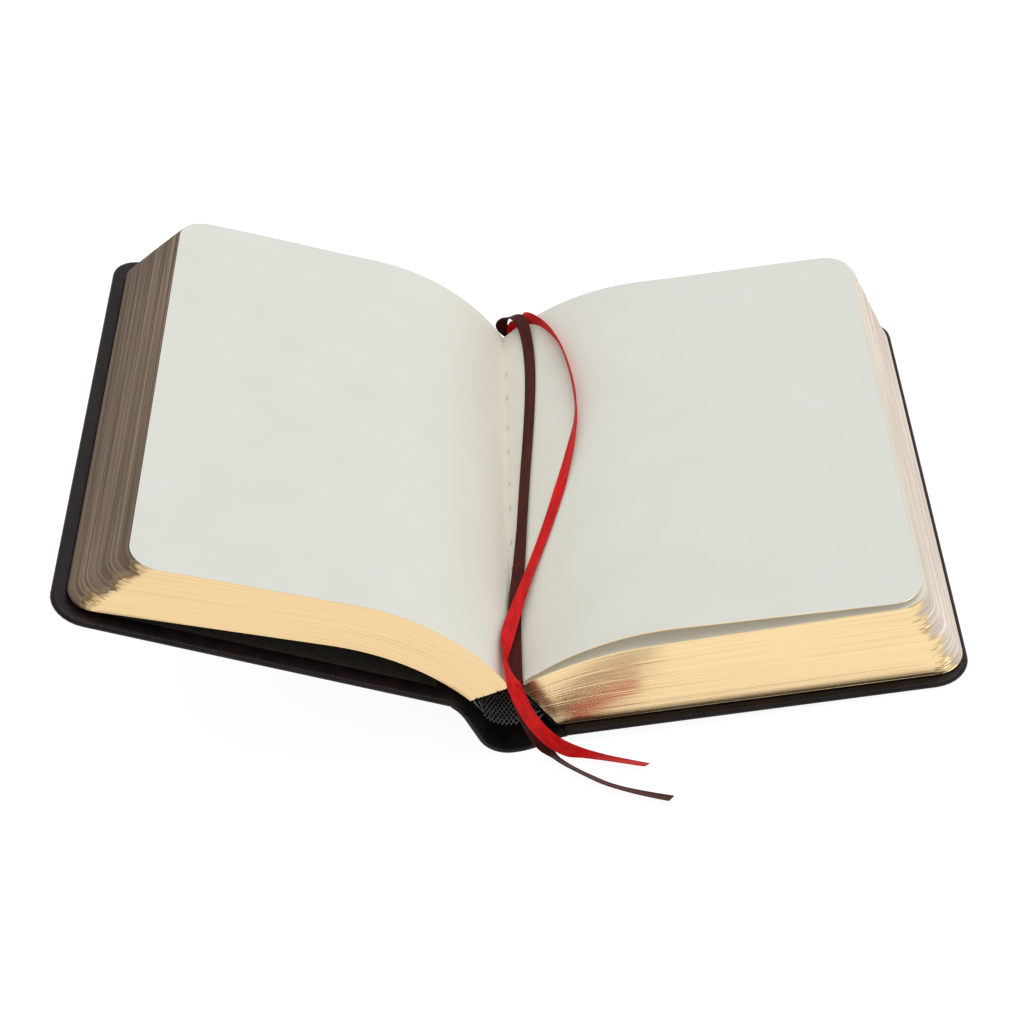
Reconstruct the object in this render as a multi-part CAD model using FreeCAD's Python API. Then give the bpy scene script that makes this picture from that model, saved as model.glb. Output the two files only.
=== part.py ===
"""A small leather-bound prayer book, lying open in the middle, spine along Y.

The back cover lies on the table at +X, the front half leans up at -X, and the hollow
leather spine bulges down between them. X runs across the open book, Y from the tail
of the pages (-) to their head (+), Z is up. The origin is under the middle of the book.
"""
import FreeCAD, Part
import math
import os

os.makedirs("parts", exist_ok=True)
V = FreeCAD.Vector

# ---------------------------------------------------------------- driving dimensions
# Lengths are in millimetres, headings in degrees from +X towards +Z.
PAGE_WIDTH = 112.0            # a leaf, from where it shows at the fold to its fore-edge
PAGE_HEIGHT = 165.0
PAGE_CORNER = 8.5             # radius of a leaf's two outer corners
HEAD_SQUARE = 3.0             # how far the covers stand past the leaves at head and tail
FORE_SQUARE = 0.0             # cover width over leaf width
COVER_THICKNESS = 2.0
COVER_CORNER = 10.0
COVER_SKIN = 0.5              # leather over the board
BOARD_THICKNESS = 1.0
EDGE_SKIN = 0.7               # leather beside the board, round its edges
TURN_IN = 7.0                 # leather folded over inside a cover
SPINE_LEATHER = 0.9
SPINE_TURN_IN = 10.0          # leather folded back inside the spine's two ends
SPINE_TURN_IN_THICKNESS = 0.5
LINING_THICKNESS = 0.4
MULL_THICKNESS = 0.5
HINGE_HEIGHT = 3.1            # underside of the back cover at its hinge
HINGE_RUN = 27.3              # from the back hinge to the front hinge, across
HINGE_RISE = 16.9             # and up
FRONT_TILT = 28.7             # slope of the front cover
JOINT_STRIP = 3.2             # leather left bare between spine and cover edge
GUTTER_WIDTH = 38.0           # part of each leaf that bends when the book shuts
SOFT_GAP = 0.3                # between a bending piece and the stiff one beside it
LEAF_THICKNESS = 0.25         # the raised leaf
ENDPAPER_SHARE = 0.02         # share of a half's thickness in its free endpaper
STITCH_RADIUS = 0.25
STITCH_LENGTH = 6.0
STITCH_PAIRS = 5
RIBBON_WIDTH = 4.0

COVER_HEIGHT = PAGE_HEIGHT + 2 * HEAD_SQUARE
COVER_WIDTH = PAGE_WIDTH + FORE_SQUARE
BACK_TILT = -math.degrees(math.asin(HINGE_HEIGHT / COVER_WIDTH))

# The book's width across the covers is centred on the origin.
FRONT_REACH = HINGE_RUN + COVER_WIDTH * math.cos(math.radians(FRONT_TILT))
BACK_REACH = (COVER_WIDTH * math.cos(math.radians(BACK_TILT))
              - COVER_THICKNESS * math.sin(math.radians(BACK_TILT)))
BACK_HINGE = ((FRONT_REACH - BACK_REACH) / 2, HINGE_HEIGHT)
FRONT_HINGE = (BACK_HINGE[0] - HINGE_RUN, BACK_HINGE[1] + HINGE_RISE)


def from_hinge(dx, dz):
    """A point (X, Z) that is given by its distance from the back hinge."""
    return (BACK_HINGE[0] + dx, BACK_HINGE[1] + dz)


# A half of the page block is a family of leaves between its top leaf and its bottom leaf.
# Each leaf leaves the back edge at a "rise" heading, bends round a radius and then runs
# straight at a "lie" heading, for a "width" in all. Pairs of values are for the top leaf
# and the bottom leaf.
FRONT_HALF = {
    "fold": (from_hinge(-11.2, HINGE_RISE + 2.1),
             from_hinge(4.3 - HINGE_RUN, HINGE_RISE + 1.3 - COVER_THICKNESS)),
    "rise": (111.2, 122.0), "lie": (154.4, 157.0), "bend": (69.8, 71.0),
    "width": (PAGE_WIDTH + 0.5, PAGE_WIDTH + 2.0)}
BACK_HALF = {
    "fold": (from_hinge(-8.8, HINGE_RISE + 1.6),
             from_hinge(-1.0, COVER_THICKNESS + SOFT_GAP)),
    "rise": (24.0, BACK_TILT), "lie": (-0.3, BACK_TILT), "bend": (85.0, 85.0),
    "width": (PAGE_WIDTH + 1.0, PAGE_WIDTH)}
RAISED_LEAF = {
    "fold": (from_hinge(-9.1, HINGE_RISE + 2.35),
             from_hinge(-9.1 + 0.13, HINGE_RISE + 2.35 - LEAF_THICKNESS)),
    "rise": (32.0, 32.0), "lie": (-3.3, -3.3), "bend": (78.0, 78.0 - LEAF_THICKNESS),
    "width": (PAGE_WIDTH + 1.5, PAGE_WIDTH + 1.5)}
FRONT_SHARES = (0.0, 0.02, 0.26, 0.50, 0.74, 1 - ENDPAPER_SHARE, 1.0)
BACK_SHARES = (0.0, 0.18, 0.36, 0.54, 0.77, 1 - ENDPAPER_SHARE, 1.0)
FRONT_NAMES = ("front_top_leaf", "front_section_1", "front_section_2",
               "front_section_3", "front_section_4", "front_flyleaf")
BACK_NAMES = ("back_section_1", "back_section_2", "back_section_3",
              "back_section_4", "back_section_5", "back_flyleaf")

# The outside of the hollow leather spine, from the back joint round to the front joint.
SPINE_ROUTE = (from_hinge(-JOINT_STRIP, -0.9), (BACK_HINGE[0] - 10.3, 0.0),
               (BACK_HINGE[0] + 6.0 - HINGE_RUN, 0.0),
               from_hinge(1.6 - HINGE_RUN, HINGE_RISE - 3.7))
SPINE_BENDS = (20.0, 9.0)

# Centre lines of the two ribbons, chosen by hand in the row frame.
RED_RIBBON = [
    (-1.3, 86.2, 18.5), (-1.5, 87.6, 26.0), (1.5, 82.4, 34.6), (8.5, 72.0, 36.2),
    (15.3, 60.0, 37.0), (19.1, 42.0, 37.4), (19.7, 23.0, 37.6), (17.1, 5.0, 37.0),
    (12.2, -12.5, 35.8), (6.9, -29.0, 34.0), (2.3, -44.5, 32.0), (-1.9, -58.0, 30.6),
    (-3.5, -69.5, 30.4), (-3.4, -79.5, 30.9), (-2.6, -88.0, 29.0), (-0.8, -92.9, 21.5),
    (2.9, -93.2, 12.5), (8.5, -92.2, 4.8), (15.8, -93.4, 2.2), (22.9, -96.2, 2.3),
    (28.7, -99.3, 2.2)]
BROWN_RIBBON = [
    (3.7, 86.2, 17.0), (3.5, 87.6, 23.8), (4.9, 82.8, 30.6), (5.9, 70.0, 31.2),
    (5.9, 52.5, 29.8), (4.7, 34.0, 29.0), (2.9, 15.5, 28.2), (1.7, -3.0, 27.3),
    (-0.1, -21.5, 26.7), (-1.5, -38.5, 25.9), (-2.3, -54.0, 25.8), (-2.8, -67.5, 26.1),
    (-3.2, -78.0, 25.8), (-3.3, -86.2, 24.8), (-3.1, -88.6, 17.4), (-1.1, -89.4, 9.4),
    (2.9, -92.0, 3.4), (10.3, -98.6, 2.2), (20.9, -106.9, 2.3), (33.9, -112.7, 2.2)]


# ---------------------------------------------------------------- geometry helpers
def direction(heading):
    """Unit (X, Z) vector at a heading."""
    angle = math.radians(heading)
    return (math.cos(angle), math.sin(angle))


def blend_pair(pair, share):
    """Value at a share of the way from a pair's first value to its second."""
    if isinstance(pair[0], tuple):
        return tuple(a + (b - a) * share for a, b in zip(*pair))
    return pair[0] + (pair[1] - pair[0]) * share


def section_point(point, y):
    """A 3-D vector for an (X, Z) point of a cross-section."""
    return V(point[0], y, point[1])


def leaf_point(half, share, run):
    """Point of one leaf at a distance run from its fold: an arc, then a straight line."""
    start = blend_pair(half["fold"], share)
    rise = blend_pair(half["rise"], share)
    lie = blend_pair(half["lie"], share)
    bend = blend_pair(half["bend"], share)
    turn = math.radians(lie - rise)
    sign = 1 if turn >= 0 else -1
    arc_length = bend * abs(turn)
    swept = sign * min(run, arc_length) / bend
    side = direction(rise + 90)
    now = direction(rise + math.degrees(swept) + 90)
    x = start[0] + sign * bend * (side[0] - now[0])
    z = start[1] + sign * bend * (side[1] - now[1])
    rest = max(run - arc_length, 0.0)
    ahead = direction(lie)
    return (x + rest * ahead[0], z + rest * ahead[1])


def leaf_edges(half, share, run_0, run_1, y):
    """The leaf's line between two distances from its fold, as an arc and a line."""
    turn = math.radians(blend_pair(half["lie"], share) - blend_pair(half["rise"], share))
    arc_length = blend_pair(half["bend"], share) * abs(turn)
    edges = []
    arc_end = min(run_1, arc_length)
    if arc_end - run_0 > 0.05:
        points = [section_point(leaf_point(half, share, run), y)
                  for run in (run_0, (run_0 + arc_end) / 2, arc_end)]
        edges.append(Part.Arc(*points).toShape())
    line_start = max(run_0, arc_length if arc_end - run_0 > 0.05 else run_0)
    if run_1 - line_start > 0.05:
        ends = [section_point(leaf_point(half, share, run), y) for run in (line_start, run_1)]
        edges.append(Part.LineSegment(*ends).toShape())
    return edges


def prism(edges, length):
    """Closed flat outline carried along Y."""
    outline = Part.Wire(Part.__sortEdges__(edges))
    return Part.Face(outline).extrude(V(0, length, 0))


def corner_cutter(top, bottom, heading, end):
    """What a rounded corner takes off a stack whose fore-edge runs from top to bottom."""
    edge = end * PAGE_HEIGHT / 2
    inner = edge - end * PAGE_CORNER
    spare = 1.0
    ahead = direction(heading)
    bow = PAGE_CORNER * (1 - math.sqrt(0.5))

    def place(run, y):
        """A point run past the top leaf's fore-edge, before the cutter is carried down."""
        start = [top[i] - (bottom[i] - top[i]) * spare + run * ahead[i] for i in (0, 1)]
        return V(start[0], y, start[1])

    rim = [place(0.0, inner), place(spare, inner), place(spare, edge + end * spare),
           place(-PAGE_CORNER, edge + end * spare), place(-PAGE_CORNER, edge)]
    edges = [Part.LineSegment(p, q).toShape() for p, q in zip(rim, rim[1:])]
    edges.append(Part.Arc(rim[-1], place(-bow, edge - end * bow), rim[0]).toShape())
    reach = 1 + 2 * spare
    along = V((bottom[0] - top[0]) * reach, 0, (bottom[1] - top[1]) * reach)
    return Part.Face(Part.Wire(edges)).extrude(along)


def stack(half, share_0, share_1, run_0, run_1=None):
    """The leaves between two shares of a half, from run_0 to run_1 or to their fore-edge."""
    y = -PAGE_HEIGHT / 2
    shares = (share_0, share_1)
    ends = [blend_pair(half["width"], share) if run_1 is None else run_1 for share in shares]
    top, bottom = [leaf_edges(half, share, run_0, end, y) for share, end in zip(shares, ends)]
    corners = [[section_point(leaf_point(half, share, run), y) for share, run in zip(shares, runs)]
               for runs in ((run_0, run_0), ends)]
    sides = [Part.LineSegment(*pair).toShape() for pair in corners]
    solid = prism(top + bottom + sides, PAGE_HEIGHT)
    if run_1 is not None:
        return solid
    fore = [leaf_point(half, share, end) for share, end in zip(shares, ends)]
    heading = blend_pair(half["lie"], (share_0 + share_1) / 2)
    for end in (-1, 1):
        solid = solid.cut(corner_cutter(fore[0], fore[1], heading, end))
    return solid


def round_route(points, bends, offset, y):
    """A route's straight runs joined by arcs, moved to the right of its direction."""
    headings = [math.degrees(math.atan2(b[1] - a[1], b[0] - a[0]))
                for a, b in zip(points, points[1:])]
    sides = [direction(heading - 90) for heading in headings]
    starts = [points[0]]
    arcs = []
    for corner, bend, before, after in zip(points[1:-1], bends, headings, headings[1:]):
        turn = (after - before + 180) % 360 - 180
        cut = bend * math.tan(math.radians(abs(turn)) / 2)
        enter = [corner[i] - cut * direction(before)[i] for i in (0, 1)]
        leave = [corner[i] + cut * direction(after)[i] for i in (0, 1)]
        sign = 1 if turn > 0 else -1
        inward = direction(before + 90 * sign)
        centre = [enter[i] + bend * inward[i] for i in (0, 1)]
        radius = bend + sign * offset
        middle = direction(before - 90 * sign + turn / 2)
        arcs.append((enter, [centre[i] + radius * middle[i] for i in (0, 1)], leave))
        starts += [enter, leave]
    starts.append(points[-1])
    edges = []
    for index, side in enumerate(sides):
        ends = [[p[i] + offset * side[i] for i in (0, 1)]
                for p in (starts[2 * index], starts[2 * index + 1])]
        edges.append(Part.LineSegment(*[section_point(p, y) for p in ends]).toShape())
        if index < len(arcs):
            enter, middle, leave = arcs[index]
            moved = [[enter[i] + offset * side[i] for i in (0, 1)], middle,
                     [leave[i] + offset * sides[index + 1][i] for i in (0, 1)]]
            edges.append(Part.Arc(*[section_point(p, y) for p in moved]).toShape())
    return edges


def band(points, bends, inner, outer, y_0, y_1):
    """A sheet that follows a route, between two offsets from it, from y_0 to y_1."""
    near = round_route(points, bends, inner, y_0)
    far = round_route(points, bends, outer, y_0)
    caps = []
    for first, second, vertex in ((near[0], far[0], 0), (near[-1], far[-1], 1)):
        ends = [edge.Vertexes[vertex].Point for edge in (first, second)]
        caps.append(Part.LineSegment(*ends).toShape())
    return prism(near + far + caps, y_1 - y_0)


# ---------------------------------------------------------------- covers
def cover_plate(margin, low, high, side):
    """A rounded plate of a cover, set in by margin, between two heights over its outside."""
    width = COVER_WIDTH - 2 * margin
    height = COVER_HEIGHT - 2 * margin
    bottom = low if side > 0 else -high
    plate = Part.makeBox(width, height, high - low, V(margin, -height / 2, bottom))
    corner = COVER_CORNER - min(margin, COVER_CORNER - 1.0)
    outer = [edge for edge in plate.Edges
             if all(abs(v.Point.x - margin - width) < 0.01 for v in edge.Vertexes)
             and abs(edge.Vertexes[0].Point.z - edge.Vertexes[1].Point.z) > 0.01]
    return plate.makeFillet(max(corner, 1.0), outer)


def place_cover(shape, hinge, heading):
    """Turn a flat cover piece to its heading and set it on its hinge."""
    placed = shape.copy()
    placed.rotate(V(0, 0, 0), V(0, 1, 0), -heading)
    placed.translate(V(hinge[0], 0, hinge[1]))
    return placed


def cover_pieces(hinge, heading, side):
    """Leather case, board and pastedown of one cover. side is 1 where its inside is up."""
    board_top = COVER_SKIN + BOARD_THICKNESS
    board = cover_plate(EDGE_SKIN, COVER_SKIN, board_top, side)
    pastedown = cover_plate(TURN_IN, board_top, COVER_THICKNESS, side)
    leather = cover_plate(0.0, 0.0, COVER_THICKNESS, side).cut(board).cut(pastedown)
    return [place_cover(piece, hinge, heading) for piece in (leather, board, pastedown)]


# ---------------------------------------------------------------- spine
def spine_pieces():
    """Hollow leather spine, its turned-in ends and its cloth lining."""
    edge = COVER_HEIGHT / 2
    leather = band(SPINE_ROUTE, SPINE_BENDS, 0.0, SPINE_LEATHER, -edge, edge)
    fold = SPINE_LEATHER + SPINE_TURN_IN_THICKNESS
    tail = band(SPINE_ROUTE, SPINE_BENDS, SPINE_LEATHER, fold, -edge, SPINE_TURN_IN - edge)
    head = band(SPINE_ROUTE, SPINE_BENDS, SPINE_LEATHER, fold, edge - SPINE_TURN_IN, edge)
    lining = band(SPINE_ROUTE, SPINE_BENDS, SPINE_LEATHER, SPINE_LEATHER + LINING_THICKNESS,
                  SPINE_TURN_IN - edge, edge - SPINE_TURN_IN)
    return leather, tail, head, lining


def straight_strip(start, end, thickness):
    """A flat leather strip between two (X, Z) points, its thickness to their right."""
    edge = COVER_HEIGHT / 2
    return band((start, end), (), 0.0, thickness, -edge, edge)


def back_edge_strip(half, lift, thickness, y_0, y_1):
    """A strip glued along a half's back edge, lift away from it."""
    top, bottom = half["fold"]
    outside = 1 if half is BACK_HALF else -1
    return band((top, bottom), (), outside * lift, outside * (lift + thickness), y_0, y_1)


def stitches():
    """Thread showing in the fold, as short lengths along the middle of the gutter."""
    between = [(a + b) / 2 for a, b in zip(FRONT_HALF["fold"][0], BACK_HALF["fold"][0])]
    spacing = PAGE_HEIGHT / (STITCH_PAIRS + 1)
    lengths = []
    for index in range(STITCH_PAIRS):
        station = -PAGE_HEIGHT / 2 + spacing * (index + 1)
        for offset in (-STITCH_LENGTH, STITCH_LENGTH):
            start = V(between[0], station + offset - STITCH_LENGTH / 2, between[1])
            lengths.append(Part.makeCylinder(STITCH_RADIUS, STITCH_LENGTH, start, V(0, 1, 0)))
    return Part.makeCompound(lengths)


# ---------------------------------------------------------------- ribbons
def ribbon_tube(name, points):
    """A plain tube along a ribbon's route: straight runs joined by the largest arcs."""
    knots = [V(*point) for point in points]
    runs = [(b - a).Length for a, b in zip(knots, knots[1:])]
    edges = []
    cursor = knots[0]
    radii = []
    for index in range(1, len(knots) - 1):
        before = (knots[index] - knots[index - 1]).normalize()
        after = (knots[index + 1] - knots[index]).normalize()
        half_turn = before.getAngle(after) / 2
        cut = 0.45 * min(runs[index - 1], runs[index])
        radii.append(cut / math.tan(half_turn))
        enter = knots[index] - before * cut
        leave = knots[index] + after * cut
        inward = (after - before).normalize()
        centre = knots[index] + inward * (radii[-1] / math.cos(half_turn))
        middle = centre - inward * radii[-1]
        edges.append(Part.LineSegment(cursor, enter).toShape())
        edges.append(Part.Arc(enter, middle, leave).toShape())
        cursor = leave
    edges.append(Part.LineSegment(cursor, knots[-1]).toShape())
    path = Part.Wire(edges)
    start = Part.Wire(Part.makeCircle(RIBBON_WIDTH / 2, knots[0], knots[1] - knots[0]))
    tube = path.makePipeShell([start], True, False)
    section = math.pi * RIBBON_WIDTH ** 2 / 4
    print(name, "length %.1f" % path.Length, "volume / (section x length) %.4f"
          % (tube.Volume / (section * path.Length)))
    print(name, "radii", " ".join("%.1f" % radius for radius in radii))
    return tube


# ---------------------------------------------------------------- the whole book
def halves():
    """Every section of both halves: a bending gutter part and a stiff outer part each."""
    nodes = {}
    for half, names, shares in ((FRONT_HALF, FRONT_NAMES, FRONT_SHARES),
                                (BACK_HALF, BACK_NAMES, BACK_SHARES)):
        for name, share_0, share_1 in zip(names, shares, shares[1:]):
            inner_end = GUTTER_WIDTH - SOFT_GAP / 2
            nodes[name + "_gutter"] = stack(half, share_0, share_1, 0.0, inner_end)
            nodes[name] = stack(half, share_0, share_1, inner_end + SOFT_GAP)
    return nodes


def build():
    """All nodes of the book, by name."""
    nodes = {}
    for name, hinge, heading, side in (("back", BACK_HINGE, BACK_TILT, 1),
                                       ("front", FRONT_HINGE, 180 - FRONT_TILT, -1)):
        leather, board, pastedown = cover_pieces(hinge, heading, side)
        nodes[name + "_cover_leather"] = leather
        nodes[name + "_board"] = board
        nodes[name + "_pastedown"] = pastedown
    leather, tail, head, lining = spine_pieces()
    nodes["spine_leather"] = leather
    nodes["spine_tail_turn_in"] = tail
    nodes["spine_head_turn_in"] = head
    nodes["spine_lining_cloth"] = lining
    nodes["back_joint_leather"] = straight_strip(
        from_hinge(-SOFT_GAP / 2, 0.1), from_hinge(SOFT_GAP - JOINT_STRIP, -0.8), SPINE_LEATHER)
    cover_edge = [FRONT_HINGE[i] + 0.1 * direction(FRONT_TILT)[i] for i in (0, 1)]
    spine_end = SPINE_ROUTE[-1]
    away = [spine_end[i] + 0.12 * (cover_edge[i] - spine_end[i]) for i in (0, 1)]
    nodes["front_joint_leather"] = straight_strip(away, cover_edge, SPINE_LEATHER)
    inset = 1.0
    y_0, y_1 = inset - PAGE_HEIGHT / 2, PAGE_HEIGHT / 2 - inset
    nodes["front_mull"] = back_edge_strip(FRONT_HALF, SOFT_GAP, MULL_THICKNESS, y_0, y_1)
    nodes["back_mull"] = back_edge_strip(BACK_HALF, SOFT_GAP, MULL_THICKNESS, y_0, y_1)
    nodes["ribbon_anchor"] = back_edge_strip(
        FRONT_HALF, SOFT_GAP + MULL_THICKNESS, MULL_THICKNESS, y_1 - 22.0, y_1 - 4.0)
    nodes["sewing_stitches"] = stitches()
    nodes.update(halves())
    nodes["raised_leaf"] = stack(RAISED_LEAF, 0.0, 1.0, 0.0)
    nodes["red_ribbon"] = ribbon_tube("red_ribbon", RED_RIBBON)
    nodes["brown_ribbon"] = ribbon_tube("brown_ribbon", BROWN_RIBBON)
    return nodes


if __name__ == "__main__":
    for node_name, shape in build().items():
        shape.exportStep("parts/" + node_name + ".step")
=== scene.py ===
# %% [markdown]
# # An open prayer book
# A small leather-bound book lies open in the middle. Two fans of gilt-edged leaves rest on
# two thin covers, a hollow spine hangs between them and two satin ribbons mark the place.
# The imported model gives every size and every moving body, so the lesson starts by loading
# it and then lays finer surfaces over its nodes, in the same frame.

# %% Load the frame
import math

import bpy
import numpy as np
from mathutils import Matrix, Vector


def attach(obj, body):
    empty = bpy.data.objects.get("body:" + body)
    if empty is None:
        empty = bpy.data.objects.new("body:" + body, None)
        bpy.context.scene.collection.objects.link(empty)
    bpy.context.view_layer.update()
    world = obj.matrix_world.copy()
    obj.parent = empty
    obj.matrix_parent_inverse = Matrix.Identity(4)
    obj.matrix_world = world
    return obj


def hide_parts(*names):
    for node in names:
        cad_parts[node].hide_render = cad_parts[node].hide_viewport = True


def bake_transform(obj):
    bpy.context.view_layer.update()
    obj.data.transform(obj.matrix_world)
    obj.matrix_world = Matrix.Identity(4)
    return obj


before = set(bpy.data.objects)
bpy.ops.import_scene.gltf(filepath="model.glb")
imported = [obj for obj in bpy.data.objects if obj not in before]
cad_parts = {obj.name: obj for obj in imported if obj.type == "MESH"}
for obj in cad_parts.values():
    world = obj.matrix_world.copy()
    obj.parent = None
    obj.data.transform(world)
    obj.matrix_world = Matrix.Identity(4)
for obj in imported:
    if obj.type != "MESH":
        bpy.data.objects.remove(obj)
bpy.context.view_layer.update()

# %% [markdown]
# ## The camera
# A long lens from above the tail keeps the covers' sides nearly parallel. The camera is
# given by its place and two directions, because a matrix made of three square axes can't
# roll by accident the way three typed angles can.

# %% Camera
MM = 0.001


def look_from(place, forward, up, lens):
    """Camera whose axes are right = forward x up, true up = right x forward, back = -forward."""
    ahead = Vector(forward).normalized()
    right = ahead.cross(Vector(up)).normalized()
    level = right.cross(ahead)
    data = bpy.data.cameras.new("camera")
    data.lens = lens
    data.sensor_width = 36.0
    camera = bpy.data.objects.new("camera", data)
    bpy.context.scene.collection.objects.link(camera)
    rows = [[right[i], level[i], -ahead[i], place[i]] for i in range(3)]
    camera.matrix_world = Matrix(rows + [[0, 0, 0, 1]])
    return camera


bpy.context.scene.camera = look_from(
    (0.07319, -0.55531, 0.46448), (-0.10724, 0.77323, -0.62500),
    (0.15882, 0.63387, 0.75696), 84.375)
print("lens", bpy.context.scene.camera.data.lens, "mm")

# %% [markdown]
# ## Sizes
# A leaf is a strip of paper that leaves its fold at one heading, bends round an arc and runs
# straight. A half of the book is a family of such leaves: "share" 0 is its top leaf, share 1
# its bottom leaf, and everything between is mixed evenly. "Tuck" is how far a leaf reaches
# back into the fold, and "fade" how fast that dies away below the top leaf. Lengths here are
# in millimetres and are brought to metres when a mesh is made.

# %% Sizes and the family of leaves
LEAF_WIDTH, LEAF_HEIGHT, LEAF_CORNER = 112.0, 165.0, 8.5
COVER_WIDTH, COVER_HEIGHT, COVER_CORNER = 112.0, 171.0, 10.0
BACK_HINGE = np.array([6.7642, 3.1])
FRONT_HINGE = BACK_HINGE + (-27.3, 16.9)
BACK_TILT, FRONT_TILT = -1.5861, 28.7
FRONT_HALF = {"fold": ((-4.436, 22.1), (-16.236, 19.3)), "rise": (111.2, 122.0),
              "lie": (154.4, 157.0), "bend": (69.8, 71.0), "width": (112.5, 114.0),
              "depth": 18.0, "tuck": 1.1, "fade": 10.0, "side": -1.0}
BACK_HALF = {"fold": ((-2.036, 21.6), (5.764, 5.4)), "rise": (24.0, BACK_TILT),
             "lie": (-0.3, BACK_TILT), "bend": (85.0, 85.0), "width": (113.0, 112.0),
             "depth": 26.8, "tuck": 0.0, "fade": 0.0, "side": 1.0}
RAISED_LEAF = {"fold": ((-2.336, 22.35), (-2.206, 22.10)), "rise": (32.0, 32.0),
               "lie": (-3.3, -3.3), "bend": (78.0, 77.75), "width": (113.5, 113.5),
               "depth": 0.25, "tuck": 2.2, "fade": 0.0, "side": 1.0}


def heading_vector(heading):
    """(X, Z) unit vectors at headings in degrees, stacked on the last axis."""
    angle = np.radians(heading)
    return np.stack([np.cos(angle), np.sin(angle)], -1)


def mixed(pair, share):
    """first + (second - first) x share, for whole arrays of shares."""
    return pair[0] + (pair[1] - pair[0]) * share


def leaf_section(half, share, run):
    """(X, Z) at a distance run from the fold: start + bend x (side vector at the rise minus
    side vector at the heading reached), then straight ahead for what is left of the run.
    A negative run carries the arc back, into the fold."""
    share, run = np.broadcast_arrays(np.asarray(share, float), np.asarray(run, float))
    top, bottom = (np.array(p) for p in half["fold"])
    start = top + (bottom - top) * share[..., None]
    rise, lie, bend = (mixed(half[key], share) for key in ("rise", "lie", "bend"))
    turn = np.radians(lie - rise)
    sign = np.where(turn < 0, -1.0, 1.0)
    arc = bend * np.abs(turn)
    swept = np.degrees(sign * np.minimum(run, arc) / bend)
    chord = heading_vector(rise + 90) - heading_vector(rise + swept + 90)
    ahead = heading_vector(lie) * np.maximum(run - arc, 0)[..., None]
    return start + (sign * bend)[..., None] * chord + ahead


def row_point(point):
    """An (X, Z) point in mm as a point of the row frame in metres."""
    return (float(point[0]) * MM, 0.0, float(point[1]) * MM)


for label, half in (("front", FRONT_HALF), ("back", BACK_HALF)):
    print(label, "half ends at", leaf_section(half, [0.0, 1.0], LEAF_WIDTH).round(1).tolist())

# %% [markdown]
# ## A closed shell over a rounded rectangle
# Leaves, covers and pasted sheets are all the same kind of form: a flat rounded rectangle
# with some depth, set on a bent or tilted surface. It could be a cube with bevels, but a
# numpy grid gives even control of the rim. The first ring is filled as the upper face, the
# last as the lower face, and the rings between them are the wall, each pushed in by its own
# inset, so one function makes leaf edges, rolled leather rims and thin paper.

# %% Mesh helpers
SHARP_EDGE = math.radians(38)      # faces that meet at more than this keep a crisp edge
CORNER_STEPS = 8                   # columns round an outer corner
CROWDING = 0.8                     # share of a quarter turn that crowds rows to the ends

def link_mesh(name, vertices, quads, uv, finish_index, finishes, run=None):
    """A mesh object from whole arrays: vertices in mm, quads, a UV for each quad corner."""
    mesh = bpy.data.meshes.new(name)
    mesh.from_pydata((vertices * MM).tolist(), [], quads.tolist())
    layer = mesh.uv_layers.new(name="UVMap")
    layer.data.foreach_set("uv", (uv * MM).astype(np.float32).ravel())
    mesh.polygons.foreach_set("material_index", finish_index.astype(np.int32))
    if run is not None:
        attribute = mesh.attributes.new("fore", "FLOAT", "POINT")
        attribute.data.foreach_set("value", run.astype(np.float32))
    mesh.update()
    mesh.validate()
    piece = bpy.data.objects.new(name, mesh)
    bpy.context.scene.collection.objects.link(piece)
    for finish in finishes:
        mesh.materials.append(finish)
    mesh.shade_smooth()
    mesh.set_sharp_from_angle(angle=SHARP_EDGE)
    return piece


def rim_grid(width, height, corner, inset, columns, rows):
    """(run, y) grid of a rectangle with two rounded outer corners, pushed in by inset.
    Past the last straight column the half height is height/2 - corner x (1 - cos angle)."""
    near, far = inset, width - inset
    radius = max(corner - inset, 0.4)
    half = height / 2 - inset
    bend = np.linspace(0, np.pi / 2, CORNER_STEPS + 1)[1:]
    run = np.concatenate([np.linspace(near, far - radius, columns),
                          far - radius + radius * np.sin(bend)])
    reach = np.concatenate([np.full(columns, half), half - radius * (1 - np.cos(bend))])
    share = np.sin(np.linspace(-np.pi / 2, np.pi / 2, rows) * CROWDING)
    share = share / math.sin(math.pi * CROWDING / 2)
    return np.stack([np.repeat(run[:, None], rows, 1), reach[:, None] * share[None]], -1)


def loop_order(columns, rows):
    """Indices round the rim of a columns x rows grid: tail side, fore-edge, head side, fold."""
    grid = np.arange(columns * rows).reshape(columns, rows)
    return np.concatenate([grid[:-1, 0], grid[-1, :-1], grid[:0:-1, -1], grid[0, :0:-1]])


def grid_quads(columns, rows, first=0):
    """Corner indices of every cell of a grid, in turning order."""
    grid = first + np.arange(columns * rows).reshape(columns, rows)
    return np.stack([grid[:-1, :-1], grid[1:, :-1], grid[1:, 1:], grid[:-1, 1:]], -1).reshape(-1, 4)


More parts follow.
